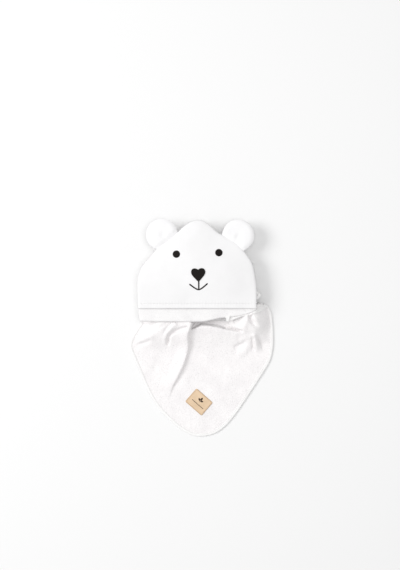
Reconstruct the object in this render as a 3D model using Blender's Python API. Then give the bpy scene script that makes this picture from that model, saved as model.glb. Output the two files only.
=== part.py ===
"""A hooded baby towel with a bear face, laid out folded.

The hood lies on the folded body of the towel. One rounded corner of the cloth, the apron, is
pulled out in front, towards -Y, and lies on the table. +Z is up and the origin is on the table,
at the middle of the whole outline.
"""

import math

import bmesh
import bpy
from mathutils import Matrix, Vector

# ---- cloths ----
TERRY = 0.003  # looped towel cloth
FACE_CLOTH = 0.0022  # smooth cloth of the hood's front
LINING = 0.0015
EAR_CLOTH = 0.0026
GAP = 0.0003  # clearance between touching layers

# ---- folded body ----
STACK_HEIGHT = 0.034
STACK_FRONT = 0.010
STACK_INSET = 0.008  # the folded cloth lies this far inside the hood's outline
BUNCH_WIDTH = 0.0314  # the cloth gathered beside the hood, at +X, stands out this far
BUNCH_DEPTH = 0.046  # how far it runs back from the front of the stack
BUNCH_HEIGHT = 0.029

# ---- hood ----
HOOD_X = -0.0084
HEM_Y = 0.0447
HOOD_WIDTH = 0.274
HOOD_LENGTH = 0.203  # hem to tip
BAND_LENGTH = 0.0302  # cloth that shows in front of the hem
BAND_CUT = 0.024  # how much shorter the band is at its +X end
POCKET_RISE = 0.011  # height of the space for the head
POCKET_SLOPE = 0.11  # it reaches that height this far in from the sewn edge
HEM_STITCH_INSET = 0.011
HEM_STITCH_END = 0.006  # from the sewn edge to the end of the stitched line

# Shares of half the width, and of the length, from one end of the hem over the tip to the other.
HOOD_SIDE_RIGHT = ((0.985, 0.0), (0.979, 0.22), (0.952, 0.375), (0.912, 0.50))
HOOD_TOP = (
    (0.84, 0.586), (0.76, 0.655), (0.545, 0.787), (0.36, 0.838), (0.208, 0.935), (0.1, 0.985),
    (0.0, 1.0), (-0.12, 0.983), (-0.25, 0.929), (-0.345, 0.868), (-0.675, 0.674),
)
HOOD_SIDE_LEFT = ((-0.80, 0.572), (-0.915, 0.487), (-0.977, 0.40), (-1.005, 0.30), (-0.992, 0.0))

# ---- ears ----
EAR_RADIUS = 0.0365
EAR_BEHIND_SEAM = 0.0165  # from the seam to the middle of the ear
EAR_FOLD_MAX = math.radians(120)
LEFT_EAR_SEAM = (-0.345, 0.868), (-0.675, 0.674)  # where the seam starts and ends, as above
RIGHT_EAR_SEAM = (0.76, 0.655), (0.415, 0.828)

# ---- face ----
THREAD_HEIGHT = 0.0011
EYE_DIAMETER = 0.0175
EYE_SPACING = 0.0968
EYE_ABOVE_HEM = 0.1267
NOSE_WIDTH = 0.032
NOSE_HEIGHT = 0.030
NOSE_ABOVE_HEM = 0.0775
FACE_TILT = math.radians(2.0)
MOUTH_LINE = 0.0028  # width of the embroidered lines
PHILTRUM_LENGTH = 0.0135
SMILE_WIDTH = 0.0425
SMILE_DEPTH = 0.0145
SMILE_ABOVE_HEM = 0.0415
STITCH = 0.0010  # thread width of the sewn lines

# ---- apron ----
APRON_WIDTH = 0.333
APRON_FRONT = -0.2505
APRON_BACK = 0.0095
APRON_RISE = 0.026  # height of the fold that it hangs from
APRON_SLOPE_END = -0.055  # it lies flat in front of this
BINDING_DIAMETER = 0.005
BINDING_CLEARANCE = 0.0007  # to the apron's cut edge
# Shares of half the width, and of the length, from the back at +X round the tail.
APRON_SIDE_RIGHT = (
    (0.979, 0.0), (1.0, 0.19), (0.945, 0.335), (0.703, 0.588), (0.549, 0.735),
)
APRON_TAIL = (
    (0.42, 0.85), (0.29, 0.928), (0.17, 0.975), (0.0, 1.0), (-0.13, 0.991), (-0.27, 0.938),
    (-0.438, 0.85), (-0.606, 0.737),
)
APRON_SIDE_LEFT = ((-0.742, 0.596), (-0.879, 0.393), (-1.0, 0.201), (-0.895, 0.046), (-0.823, 0.0))

# ---- label and tab ----
LABEL_LENGTH = 0.050
LABEL_WIDTH = 0.040
LABEL_THICKNESS = 0.0010
LABEL_CORNER = 0.0025
LABEL_AT = (-0.0052, -0.1714)
LABEL_TURN = math.radians(-41)
LABEL_STITCH_INSET = 0.0024
MARK_LENGTH = 0.011
MARK_WIDTH = 0.006
MARK_UP = 0.006  # from the middle of the label
TAB_X = 0.060
TAB_WIDTH = 0.012
TAB_LENGTH = 0.0075
TAB_THICKNESS = 0.0014

# ---- levels, worked out ----
HINGE_Y = HEM_Y - BAND_LENGTH
BACK_Z = STACK_HEIGHT + GAP
LINING_Z = BACK_Z + TERRY + GAP
FACE_Z = LINING_Z + LINING + GAP
SEAM_TOP = FACE_Z + FACE_CLOTH

CREAM = (0.93, 0.92, 0.90)
WHITE = (0.96, 0.96, 0.96)
BLACK = (0.02, 0.02, 0.022)
TAN = (0.78, 0.60, 0.40)


def smooth_through(points, steps=10):
    """A curve through the points, as Catmull and Rom draw it."""
    points = [Vector(p) for p in points]
    first = points[0] * 2 - points[1]
    last = points[-1] * 2 - points[-2]
    row = [first, *points, last]
    curve = []
    for a, b, c, d in zip(row, row[1:], row[2:], row[3:], strict=False):
        for i in range(steps):
            t = i / steps
            curve.append(
                0.5 * (2 * b + (c - a) * t + (2 * a - 5 * b + 4 * c - d) * t**2
                       + (3 * b - a - 3 * c + d) * t**3)
            )
    return [*curve, points[-1]]


def along(line, share):
    """The point at a share of a line's length."""
    steps = [(b - a).length for a, b in zip(line, line[1:], strict=False)]
    left = min(max(share, 0.0), 1.0) * sum(steps)
    for a, b, step in zip(line, line[1:], steps, strict=False):
        if left <= step and step > 0:
            return a.lerp(b, left / step)
        left -= step
    return line[-1].copy()


def evenly(line, count):
    return [along(line, i / (count - 1)) for i in range(count)]


def moved_in(line, distance):
    """A line moved to its left by a distance, seen along its run."""
    moved = []
    for i, point in enumerate(line):
        run = line[min(i + 1, len(line) - 1)] - line[max(i - 1, 0)]
        left = Vector((-run.y, run.x)).normalized()
        moved.append(point + left * distance)
    return moved


def smooth_step(value):
    t = min(max(value, 0.0), 1.0)
    return t * t * (3 - 2 * t)


def make_material(name, colour, roughness):
    material = bpy.data.materials.new(name)
    material.use_nodes = True
    shader = material.node_tree.nodes["Principled BSDF"]
    shader.inputs["Base Color"].default_value = (*colour, 1.0)
    shader.inputs["Roughness"].default_value = roughness
    shader.inputs["Metallic"].default_value = 0.0
    return material


def add_object(name, data, colour, roughness, hinge=None):
    piece = bpy.data.objects.new(name, data)
    towel_parts.objects.link(piece)
    piece.data.materials.append(make_material(name, colour, roughness))
    if hinge is not None:
        piece.parent = hinge
        piece.matrix_parent_inverse = Matrix.Translation(-place_of[hinge.name])
    return piece


def add_hinge(name, place, parent=None):
    hinge = bpy.data.objects.new(name, None)
    towel_parts.objects.link(hinge)
    hinge.empty_display_size = 0.03
    place_of[name] = Vector(place)
    hinge.location = place
    if parent is not None:
        hinge.parent = parent
        hinge.location = Vector(place) - place_of[parent.name]
    return hinge


def cloth(name, sides, cells, under, over, look, hinge=None):
    """A closed piece of cloth between two heights, on an outline of four sides.

    The front and back sides run towards +X, and the left and right ones from front to back.
    """
    front, right, back, left = sides
    bm = bmesh.new()
    bmesh.ops.create_grid(bm, x_segments=cells[0], y_segments=cells[1], size=1.0)
    for v in bm.verts:
        s = (v.co.x + 1) / 2
        t = (v.co.y + 1) / 2
        ruled = along(front, s) * (1 - t) + along(back, s) * t
        ruled += along(left, t) * (1 - s) + along(right, t) * s
        ruled -= front[0] * (1 - s) * (1 - t) + front[-1] * s * (1 - t)
        ruled -= back[0] * (1 - s) * t + back[-1] * s * t
        v.co = ruled.x, ruled.y, under(ruled.x, ruled.y)
    raised = bmesh.ops.extrude_face_region(bm, geom=bm.faces[:])["geom"]
    for v in raised:
        if isinstance(v, bmesh.types.BMVert):
            v.co.z = over(v.co.x, v.co.y)
    bmesh.ops.recalc_face_normals(bm, faces=bm.faces[:])
    mesh = bpy.data.meshes.new(name)
    bm.to_mesh(mesh)
    bm.free()
    mesh.shade_smooth()
    mesh.set_sharp_from_angle(angle=math.radians(50))
    return add_object(name, mesh, *look, hinge)


def cord_line(name, points, width, look, hinge=None, closed=False):
    """A round thread, roll or piping along points in space."""
    curve = bpy.data.curves.new(name, "CURVE")
    curve.dimensions = "3D"
    curve.bevel_depth = width / 2
    curve.bevel_resolution = 2
    curve.use_fill_caps = not closed
    spline = curve.splines.new("POLY")
    spline.points.add(len(points) - 1)
    for target, point in zip(spline.points, points, strict=True):
        target.co = (*point, 1.0)
    spline.use_cyclic_u = closed
    return add_object(name, curve, *look, hinge)


def flat_plate(name, outline, bottom, thickness, look, hinge=None):
    """A flat piece cut to an outline, with its underside at a height."""
    curve = bpy.data.curves.new(name, "CURVE")
    curve.dimensions = "2D"
    curve.fill_mode = "BOTH"
    curve.extrude = thickness / 2
    spline = curve.splines.new("POLY")
    spline.points.add(len(outline) - 1)
    for target, point in zip(spline.points, outline, strict=True):
        target.co = (point.x, point.y, 0.0, 1.0)
    spline.use_cyclic_u = True
    piece = add_object(name, curve, *look, hinge)
    piece.location = (0.0, 0.0, bottom + thickness / 2)
    return piece


def placed(points, middle, turn):
    """Flat points turned about their own origin and moved to a place."""
    spin = Matrix.Rotation(turn, 2)
    return [Vector(middle) + spin @ Vector(p) for p in points]


# ---- outlines ----
def on_hood(share):
    return Vector((HOOD_X + share[0] * HOOD_WIDTH / 2, HEM_Y + share[1] * HOOD_LENGTH))


def on_apron(share):
    return Vector((share[0] * APRON_WIDTH / 2, APRON_BACK + share[1] * (APRON_FRONT - APRON_BACK)))


def split_at(line, corners):
    """Cut a smooth line into stretches at the points nearest to its corners."""
    cuts = [min(range(len(line)), key=lambda i, c=c: (line[i] - c).length) for c in corners]
    ends = [0, *cuts, len(line) - 1]
    return [line[a:b + 1] for a, b in zip(ends, ends[1:], strict=False)]


hood_line = smooth_through([on_hood(p) for p in (*HOOD_SIDE_RIGHT, *HOOD_TOP, *HOOD_SIDE_LEFT)])
hood_seam = evenly(hood_line, 241)
hood_edge = hood_line[0].x
bunch_edge = hood_edge + BUNCH_WIDTH
hood_corners = on_hood(HOOD_SIDE_RIGHT[-1]), on_hood(HOOD_SIDE_LEFT[1])
apron_line = smooth_through([on_apron(p) for p in (*APRON_SIDE_RIGHT, *APRON_TAIL, *APRON_SIDE_LEFT)])
apron_corners = on_apron(APRON_SIDE_RIGHT[-1]), on_apron(APRON_TAIL[-1])


def hood_sides(line, front):
    """The four sides of a cloth that fills a line round the hood, closed by a front side."""
    right, top, left = split_at(line, hood_corners)
    return front, right, top[::-1], left[::-1]


def pocket_rise(x, y):
    """How high the space for the head holds the hood's front above its back."""
    spot = Vector((x, y))
    from_seam = min((p - spot).length for p in hood_seam)
    return POCKET_RISE * (1 - (1 - min(from_seam / POCKET_SLOPE, 1.0)) ** 2)


def face_top(x, y):
    return SEAM_TOP + pocket_rise(x, y)


def apron_under(x, y):
    share = (y - APRON_SLOPE_END) / (APRON_BACK - APRON_SLOPE_END)
    return APRON_RISE * smooth_step(share)


def stack_top(x, y):
    edge = hood_edge - STACK_INSET
    share = (x - edge) / (bunch_edge - edge)
    return STACK_HEIGHT + (BUNCH_HEIGHT - STACK_HEIGHT) * smooth_step(share * 1.6)


for item in list(bpy.data.objects):
    bpy.data.objects.remove(item)

towel_parts = bpy.data.collections.new("hooded_baby_towel")
bpy.context.scene.collection.children.link(towel_parts)
place_of = {}

TERRY_LOOK = (WHITE, 0.95)
FACE_LOOK = (WHITE, 0.85)
BINDING_LOOK = (CREAM, 0.8)
THREAD_LOOK = (BLACK, 0.6)
WHITE_THREAD = (WHITE, 0.6)

# ---- folded body ----
hood_inside = moved_in(hood_line, STACK_INSET)
left_front = Vector((hood_inside[-1].x, STACK_FRONT))
right_front = Vector((bunch_edge, STACK_FRONT))
bunch_back = STACK_FRONT + BUNCH_DEPTH
bunch = smooth_through([
    right_front,
    (bunch_edge + 0.001, STACK_FRONT + 0.4 * BUNCH_DEPTH),
    (bunch_edge - 0.009, STACK_FRONT + 0.78 * BUNCH_DEPTH),
    (bunch_edge - 0.023, bunch_back),
    (hood_inside[0].x + 0.003, bunch_back + 0.014),
])
hood_inside = [p for p in hood_inside if p.x < HOOD_X or p.y > bunch_back + 0.018]
stack_line = [*bunch, *hood_inside, left_front]
stack_front = [left_front, right_front]
cloth("towel_body_folded", hood_sides(stack_line, stack_front), (20, 14), lambda x, y: 0.0,
      stack_top, TERRY_LOOK)
roll = BINDING_DIAMETER / 2
side_roll = moved_in(bunch, -roll - GAP)
side_roll = evenly(side_roll, 14)[:-2]
side_roll[0].y = STACK_FRONT + roll / 2
side_roll[0].x = side_roll[1].x
cord_line("side_binding", [(p.x, p.y, BUNCH_HEIGHT - roll) for p in side_roll],
          BINDING_DIAMETER, BINDING_LOOK)

# ---- hood ----
hem = [hood_line[-1], hood_line[0]]
band_left = Vector((hood_line[-1].x + 0.0033, HINGE_Y + 0.0015))
band_right = Vector((hood_line[0].x - 0.001, HINGE_Y + BAND_CUT))
band_front = smooth_through([
    band_left,
    (HOOD_X + 0.014, HINGE_Y),
    (HOOD_X + 0.056, HINGE_Y + 0.35 * BAND_CUT),
    (HOOD_X + 0.105, HINGE_Y + 0.58 * BAND_CUT),
    band_right,
])
band_line = [band_right, *hood_line, band_left]
hood_hinge = add_hinge("hood_hinge", (HOOD_X, min(p.y for p in band_front), BACK_Z))
cloth("hood_back_panel", hood_sides(band_line, band_front), (18, 16), lambda x, y: BACK_Z,
      lambda x, y: BACK_Z + TERRY, TERRY_LOOK, hood_hinge)
cloth("hood_lining", hood_sides(hood_line, hem), (18, 14),
      lambda x, y: LINING_Z + pocket_rise(x, y),
      lambda x, y: LINING_Z + LINING + pocket_rise(x, y), TERRY_LOOK, hood_hinge)
cloth("hood_front_panel", hood_sides(hood_line, hem), (18, 14),
      lambda x, y: FACE_Z + pocket_rise(x, y), face_top, FACE_LOOK, hood_hinge)
stitch_y = HEM_Y + HEM_STITCH_INSET
stitch_line = evenly([Vector((hem[0].x + HEM_STITCH_END, stitch_y)),
                      Vector((hem[1].x - HEM_STITCH_END, stitch_y))], 31)
cord_line("hood_hem_stitching",
          [(p.x, p.y, face_top(p.x, p.y) + GAP + STITCH / 2) for p in stitch_line],
          STITCH, WHITE_THREAD, hood_hinge)

# ---- ears ----
for side, seam in (("left", LEFT_EAR_SEAM), ("right", RIGHT_EAR_SEAM)):
    start, end = (on_hood(p) for p in seam)
    run = (end - start).normalized()
    away = Vector((run.y, -run.x))
    bulge = max((p - start).dot(away) for p in hood_line
                if -0.002 < (p - start).dot(run) < (end - start).length + 0.002)
    seam_middle = (start + end) / 2 + away * (bulge + GAP)
    hinge = add_hinge(f"ear_{side}_hinge", (*seam_middle, SEAM_TOP), hood_hinge)
    half_seam = math.sqrt(EAR_RADIUS**2 - EAR_BEHIND_SEAM**2)
    middle = seam_middle + away * EAR_BEHIND_SEAM
    turn = math.atan2(-run.y, -run.x)
    seam_angle = math.atan2(-EAR_BEHIND_SEAM, half_seam)
    sweep = math.pi - 2 * seam_angle
    round_edge = [
        middle + Matrix.Rotation(turn, 2)
        @ Vector((math.cos(seam_angle + sweep * i / 48), math.sin(seam_angle + sweep * i / 48)))
        * EAR_RADIUS
        for i in range(49)
    ]
    ear_sides = ([round_edge[-1], round_edge[0]], round_edge[:15], round_edge[14:35][::-1],
                 round_edge[34:][::-1])
    ear_top = SEAM_TOP - GAP
    ear_split = ear_top - EAR_CLOTH
    cloth(f"ear_{side}_front", ear_sides, (10, 10), lambda x, y, z=ear_split: z,
          lambda x, y, z=ear_top: z, FACE_LOOK, hinge)
    cloth(f"ear_{side}_back", ear_sides, (10, 10),
          lambda x, y, z=ear_split: z - GAP - EAR_CLOTH,
          lambda x, y, z=ear_split: z - GAP, TERRY_LOOK, hinge)

# ---- face ----
face_middle = (HOOD_X, HEM_Y + NOSE_ABOVE_HEM)
eye_up = EYE_ABOVE_HEM - NOSE_ABOVE_HEM
for side, sign in (("left", -1), ("right", 1)):
    eye = placed([(sign * EYE_SPACING / 2, eye_up)], face_middle, FACE_TILT)[0]
    rim = [eye + Vector((math.cos(a), math.sin(a))) * EYE_DIAMETER / 2
           for a in (math.radians(225 + 7.5 * i) for i in range(49))]
    eye_sides = rim[:13], rim[12:25], rim[24:37][::-1], rim[36:][::-1]
    cloth(f"eye_{side}", eye_sides, (6, 6), lambda x, y: face_top(x, y) + GAP,
          lambda x, y: face_top(x, y) + GAP + THREAD_HEIGHT, THREAD_LOOK, hood_hinge)

heart = []
for i in range(40):
    a = math.tau * i / 40
    heart.append((NOSE_WIDTH / 2 * math.sin(a) ** 3,
                  NOSE_HEIGHT * (13 * math.cos(a) - 5 * math.cos(2 * a) - 2 * math.cos(3 * a)
                                 - math.cos(4 * a) + 2.5) / 29))
flat_plate("nose", placed(heart, face_middle, FACE_TILT), face_top(*face_middle) + GAP,
           THREAD_HEIGHT, THREAD_LOOK, hood_hinge)

smile_down = SMILE_ABOVE_HEM - NOSE_ABOVE_HEM


def on_face(points):
    """Embroidered points on the hood's front, from flat ones about the nose."""
    spots = placed(points, face_middle, FACE_TILT)
    return [(p.x, p.y, face_top(p.x, p.y) + GAP + MOUTH_LINE / 2) for p in spots]


smile = []
for i in range(17):
    share = -1 + i / 8
    smile.append((share * SMILE_WIDTH / 2, smile_down + SMILE_DEPTH * abs(share) ** 1.5))
cord_line("smile", on_face(smile), MOUTH_LINE, THREAD_LOOK, hood_hinge)
philtrum_foot = smile_down + MOUTH_LINE + 2 * GAP
philtrum = [(0.0, philtrum_foot + PHILTRUM_LENGTH * i / 4) for i in range(5)]
cord_line("philtrum", on_face(philtrum), MOUTH_LINE, THREAD_LOOK, hood_hinge)

tab_front = HINGE_Y + 0.001
tab_root = min(tab_front + TAB_LENGTH,
               min(p.y for p in band_front if abs(p.x - TAB_X) < TAB_WIDTH) - GAP)
tab = [Vector(p) for p in ((TAB_X - TAB_WIDTH / 2, tab_root), (TAB_X - 0.0015, tab_front),
                           (TAB_X + 0.0015, tab_front), (TAB_X + TAB_WIDTH / 2, tab_root))]
flat_plate("hanging_tab", tab, BACK_Z, TAB_THICKNESS, BINDING_LOOK, hood_hinge)

# ---- apron ----
apron_hinge = add_hinge("apron_hinge", (0.0, APRON_BACK, APRON_RISE + TERRY))
roll_line = moved_in(apron_line, -roll)
apron_inside = moved_in(apron_line, -(BINDING_DIAMETER + BINDING_CLEARANCE))
for line, stop in ((roll_line, APRON_BACK - roll), (apron_inside, APRON_BACK)):
    for end, before in ((0, 1), (-1, -2)):
        run = line[end] - line[before]
        line[end] += run * (stop - line[end].y) / run.y
right, tail, left = split_at(apron_inside, apron_corners)
apron_sides = (tail[::-1], right[::-1], [left[-1], right[0]], left)
cloth("towel_apron", apron_sides, (20, 16), apron_under,
      lambda x, y: apron_under(x, y) + TERRY, TERRY_LOOK, apron_hinge)
cord_line("apron_binding",
          [(p.x, p.y, apron_under(p.x, p.y) + roll) for p in evenly(roll_line, 90)],
          BINDING_DIAMETER, BINDING_LOOK, apron_hinge)

# ---- label ----
half_length = LABEL_LENGTH / 2
half_width = LABEL_WIDTH / 2


def rounded_box(inset, corner):
    """A rectangle inside the label's edge, with round corners."""
    points = []
    for i, (sx, sy) in enumerate(((1, 1), (-1, 1), (-1, -1), (1, -1))):
        middle = Vector((sx * (half_length - inset - corner), sy * (half_width - inset - corner)))
        for k in range(5):
            a = math.radians(90 * i + 22.5 * k)
            points.append(middle + Vector((math.cos(a), math.sin(a))) * corner)
    return placed(points, LABEL_AT, LABEL_TURN)


label_z = TERRY + GAP
label_top = label_z + LABEL_THICKNESS
flat_plate("label_patch", rounded_box(0.0, LABEL_CORNER), label_z, LABEL_THICKNESS, (TAN, 0.7),
           apron_hinge)
thread_z = label_top + GAP + STITCH / 2
cord_line("label_stitching",
          [(p.x, p.y, thread_z) for p in rounded_box(LABEL_STITCH_INSET, LABEL_CORNER / 2)],
          STITCH, (TAN, 0.6), apron_hinge, closed=True)
leaf = []
for i in range(24):
    a = math.tau * i / 24
    leaf.append((MARK_LENGTH / 2 * math.cos(a), MARK_UP + MARK_WIDTH / 2 * math.sin(a) ** 3))
flat_plate("label_mark", placed(leaf, LABEL_AT, LABEL_TURN), label_top + GAP, STITCH / 2,
           ((0.35, 0.22, 0.12), 0.7), apron_hinge)
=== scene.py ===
import math

import bmesh
import bpy
import numpy as np
from mathutils import Matrix, Vector, noise


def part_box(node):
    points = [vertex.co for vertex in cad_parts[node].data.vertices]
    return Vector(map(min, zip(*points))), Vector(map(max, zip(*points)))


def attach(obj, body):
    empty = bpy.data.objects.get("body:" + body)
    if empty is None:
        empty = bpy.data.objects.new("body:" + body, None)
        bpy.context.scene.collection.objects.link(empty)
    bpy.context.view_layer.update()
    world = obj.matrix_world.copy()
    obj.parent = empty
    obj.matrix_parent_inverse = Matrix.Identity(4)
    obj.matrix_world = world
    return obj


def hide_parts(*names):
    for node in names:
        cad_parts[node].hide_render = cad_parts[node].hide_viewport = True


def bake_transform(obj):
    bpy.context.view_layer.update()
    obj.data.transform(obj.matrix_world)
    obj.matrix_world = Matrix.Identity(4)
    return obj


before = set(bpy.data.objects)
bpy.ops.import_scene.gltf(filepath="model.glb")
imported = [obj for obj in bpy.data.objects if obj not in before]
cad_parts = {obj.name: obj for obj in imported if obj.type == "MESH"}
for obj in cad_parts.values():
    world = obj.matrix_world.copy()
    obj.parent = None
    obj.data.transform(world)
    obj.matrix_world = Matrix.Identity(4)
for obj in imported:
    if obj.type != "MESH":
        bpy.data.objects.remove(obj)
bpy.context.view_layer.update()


def new_mesh(name, bm):
    """A mesh with the faces of a shape, which is used up."""
    mesh = bpy.data.meshes.new(name)
    bm.to_mesh(mesh)
    bm.free()
    return mesh


def new_object(name, data):
    """An object in the scene that shows a mesh, a light or a camera."""
    thing = bpy.data.objects.new(name, data)
    bpy.context.scene.collection.objects.link(thing)
    return thing


# ==== Table, light and camera ====
# The towel lies on a pale seamless table, in the soft light of a bright room: a wide window on
# its left and above, and white walls all round. The camera looks straight down on it.
table_bm = bmesh.new()
bmesh.ops.create_grid(table_bm, x_segments=1, y_segments=1, size=6.0)
bmesh.ops.translate(table_bm, verts=table_bm.verts[:], vec=(0, 0, -0.0002))
table_mesh = new_mesh("table", table_bm)
table = new_object("table", table_mesh)
table_finish = bpy.data.materials.new("white_table")
table_finish.use_nodes = True
table_shader = table_finish.node_tree.nodes["Principled BSDF"]
table_shader.inputs["Base Color"].default_value = (0.86, 0.86, 0.86, 1)
table_shader.inputs["Roughness"].default_value = 0.9
table_shader.inputs["Specular IOR Level"].default_value = 0.1
table_mesh.materials.append(table_finish)

room = bpy.data.worlds.new("bright_room")
room.use_nodes = True
room.node_tree.nodes["Background"].inputs["Color"].default_value = (1.0, 1.0, 1.0, 1)
room.node_tree.nodes["Background"].inputs["Strength"].default_value = 0.585
bpy.context.scene.world = room


def add_window(name, place, target, size, watts):
    """A soft light of a size, turned from its place to face a target."""
    light = bpy.data.lights.new(name, "AREA")
    light.shape = "DISK"
    light.size = size
    light.energy = watts
    holder = new_object(name, light)
    holder.location = place
    holder.rotation_euler = (Vector(target) - Vector(place)).to_track_quat("-Z", "Y").to_euler()


add_window("window", (-3.4, 0.8, 3.2), (0, 0, 0), 2.4, 106)
add_window("ceiling", (0.3, 0.3, 3.4), (0, 0, 0), 2.0, 31)

VIEW_CENTRE = (-0.0029, 0.0988)
VIEW_HEIGHT = 1.318
LENS = 85.0
FILM = 36.0
camera = bpy.data.cameras.new("camera")
camera.lens = LENS
camera.sensor_width = FILM
camera.clip_end = 20.0
viewer = new_object("camera", camera)
viewer.location = (*VIEW_CENTRE, VIEW_HEIGHT * LENS / FILM)
viewer.rotation_euler = (0, 0, 0)
bpy.context.scene.camera = viewer
bpy.context.scene.view_settings.view_transform = "Standard"


# ==== Folded body of the towel ====
# One square of looped cotton terry, about 80 cm a side, folded over and over into a pad of eleven
# layers under the hood. The folds round over at the edges, each a little off the last.
TERRY = 0.003
STACK_LAYERS = 11


def smooth_through(points, steps=10):
    """A smooth curve through points, on a table or in space, with so many steps between two."""
    points = [Vector(p) for p in points]
    row = [points[0] * 2 - points[1], *points, points[-1] * 2 - points[-2]]
    curve = []
    for a, b, c, d in zip(row, row[1:], row[2:], row[3:]):
        for i in range(steps):
            t = i / steps
            curve.append(0.5 * (2 * b + (c - a) * t + (2 * a - 5 * b + 4 * c - d) * t**2
                                + (3 * b - a - 3 * c + d) * t**3))
    return [*curve, points[-1]]


def spots_of(points):
    """Points as the rows of an array."""
    return np.array([tuple(p) for p in points])


def in_metres(points):
    """Points given in millimetres."""
    return [tuple(c / 1000 for c in p) for p in points]


def gap_to(spots, line):
    """How far flat places lie from the nearest point of a line. Both are arrays."""
    return np.min(np.linalg.norm(spots[:, None, :2] - line[None], axis=2), axis=1)


def evenly(line, count):
    """A line again, as so many points the same distance apart."""
    spots = spots_of(line)
    run = np.concatenate([[0], np.cumsum(np.linalg.norm(np.diff(spots, axis=0), axis=1))])
    at = np.linspace(0, run[-1], count)
    return [Vector(p) for p in np.stack([np.interp(at, run, spots[:, k])
                                         for k in range(spots.shape[1])], axis=1)]


def moved_in(line, distance):
    """A flat line moved to the left of its run."""
    moved = []
    for i, point in enumerate(line):
        run = line[min(i + 1, len(line) - 1)] - line[max(i - 1, 0)]
        moved.append(point + Vector((-run.y, run.x)).normalized() * distance)
    return moved


def smooth_step(values):
    """From 0 to 1 with soft ends."""
    t = np.clip(values, 0.0, 1.0)
    return t * t * (3 - 2 * t)


def rolled_down(share):
    """The drop of a rounded edge in shares of its radius, this share of a radius in from its rim."""
    return 1 - math.sqrt(max(1 - (1 - min(share, 1)) ** 2, 0.0))


def cut_cloth(front, right, back, left, across, along):
    """A flat grid that fills an outline of four sides, which run towards +X and away from us."""
    bm = bmesh.new()
    bmesh.ops.create_grid(bm, x_segments=across, y_segments=along, size=1.0)
    front, back = evenly(front, across + 1), evenly(back, across + 1)
    left, right = evenly(left, along + 1), evenly(right, along + 1)
    for v in bm.verts:
        s, t = (v.co.x + 1) / 2, (v.co.y + 1) / 2
        i, j = round(s * across), round(t * along)
        flat = front[i] * (1 - t) + back[i] * t + left[j] * (1 - s) + right[j] * s
        flat -= front[0] * (1 - s) * (1 - t) + front[-1] * s * (1 - t)
        flat -= back[0] * (1 - s) * t + back[-1] * s * t
        v.co = flat.x, flat.y, 0.0
    return bm


def rumple(place, size, seed=0.0):
    """Soft unevenness, from -1 to 1, that repeats about every size metres."""
    return noise.noise(Vector((place[0] / size + seed, place[1] / size - seed, seed)))


def finish_piece(name, bm, material, body):
    """The mesh as an object of its own, shaded smooth, and attached to its body if it has one."""
    mesh = new_mesh(name, bm)
    mesh.materials.append(material)
    mesh.shade_smooth()
    piece = new_object(name, mesh)
    if body is not None:
        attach(piece, body)
    return piece


def join_into(bm, other):
    """Adds the faces of another shape to this one."""
    scratch = new_mesh("scratch", other)
    bm.from_mesh(scratch)
    bpy.data.meshes.remove(scratch)


def start_material(name, roughness, sheen=0.0):
    """A cloth or leather finish to be built on, with its shader, nodes and object coordinates."""
    material = bpy.data.materials.new(name)
    material.use_nodes = True
    tree = material.node_tree
    shader = tree.nodes["Principled BSDF"]
    shader.inputs["Roughness"].default_value = roughness
    shader.inputs["Specular IOR Level"].default_value = 0.2
    shader.inputs["Sheen Weight"].default_value = sheen
    shader.inputs["Sheen Roughness"].default_value = 0.5
    place = tree.nodes.new("ShaderNodeTexCoord").outputs["Object"]
    return material, tree, shader, place


def thicken(piece, thickness):
    """Gives a sheet of cloth its thickness, downwards from its upper side."""
    wall = piece.modifiers.new("thickness", "SOLIDIFY")
    wall.thickness = thickness
    wall.offset = -1.0


def add_node(tree, kind, **values):
    """A node with some of its settings, or its inputs by name, given."""
    node = tree.nodes.new(kind)
    for key, value in values.items():
        if key in node.inputs:
            node.inputs[key].default_value = value
        else:
            setattr(node, key, value)
    return node


def add_texture(tree, place, kind, **values):
    """A texture laid over the object by its coordinates."""
    node = add_node(tree, "ShaderNodeTex" + kind, **values)
    tree.links.new(place, node.inputs["Vector"])
    return node


def add_bands(tree, place, direction, scale, distortion, detail=2.0):
    """Fine parallel ribs across a direction."""
    return add_texture(tree, place, "Wave", wave_type="BANDS", bands_direction=direction, Scale=scale,
                       Distortion=distortion, Detail=detail)


def ramp(tree, factor, stops):
    """Colours read off a scale from the factor, as (share, colour) stops."""
    node = tree.nodes.new("ShaderNodeValToRGB")
    bands = node.color_ramp.elements
    for i, (share, colour) in enumerate(stops):
        band = bands[i] if i < 2 else bands.new(share)
        band.position = share
        band.color = (*colour, 1.0)
    tree.links.new(factor, node.inputs["Fac"])
    return node.outputs["Color"]


def tinted(tree, colour, shade):
    """A colour darkened by a shade."""
    node = add_node(tree, "ShaderNodeMix", data_type="RGBA", blend_type="MULTIPLY")
    node.inputs[0].default_value = 1.0
    tree.links.new(colour, node.inputs[6])
    tree.links.new(shade, node.inputs[7])
    return node.outputs[2]


def finish_surface(tree, shader, colour, layers):
    """The colour, and bumps from (height, strength, depth in metres) layers, one over the other."""
    tree.links.new(colour, shader.inputs["Base Color"])
    normal = None
    for height, strength, depth in layers:
        bump = add_node(tree, "ShaderNodeBump", Strength=strength, Distance=depth)
        tree.links.new(height, bump.inputs["Height"])
        if normal is not None:
            tree.links.new(normal, bump.inputs["Normal"])
        normal = bump.outputs["Normal"]
    tree.links.new(normal, shader.inputs["Normal"])


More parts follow.
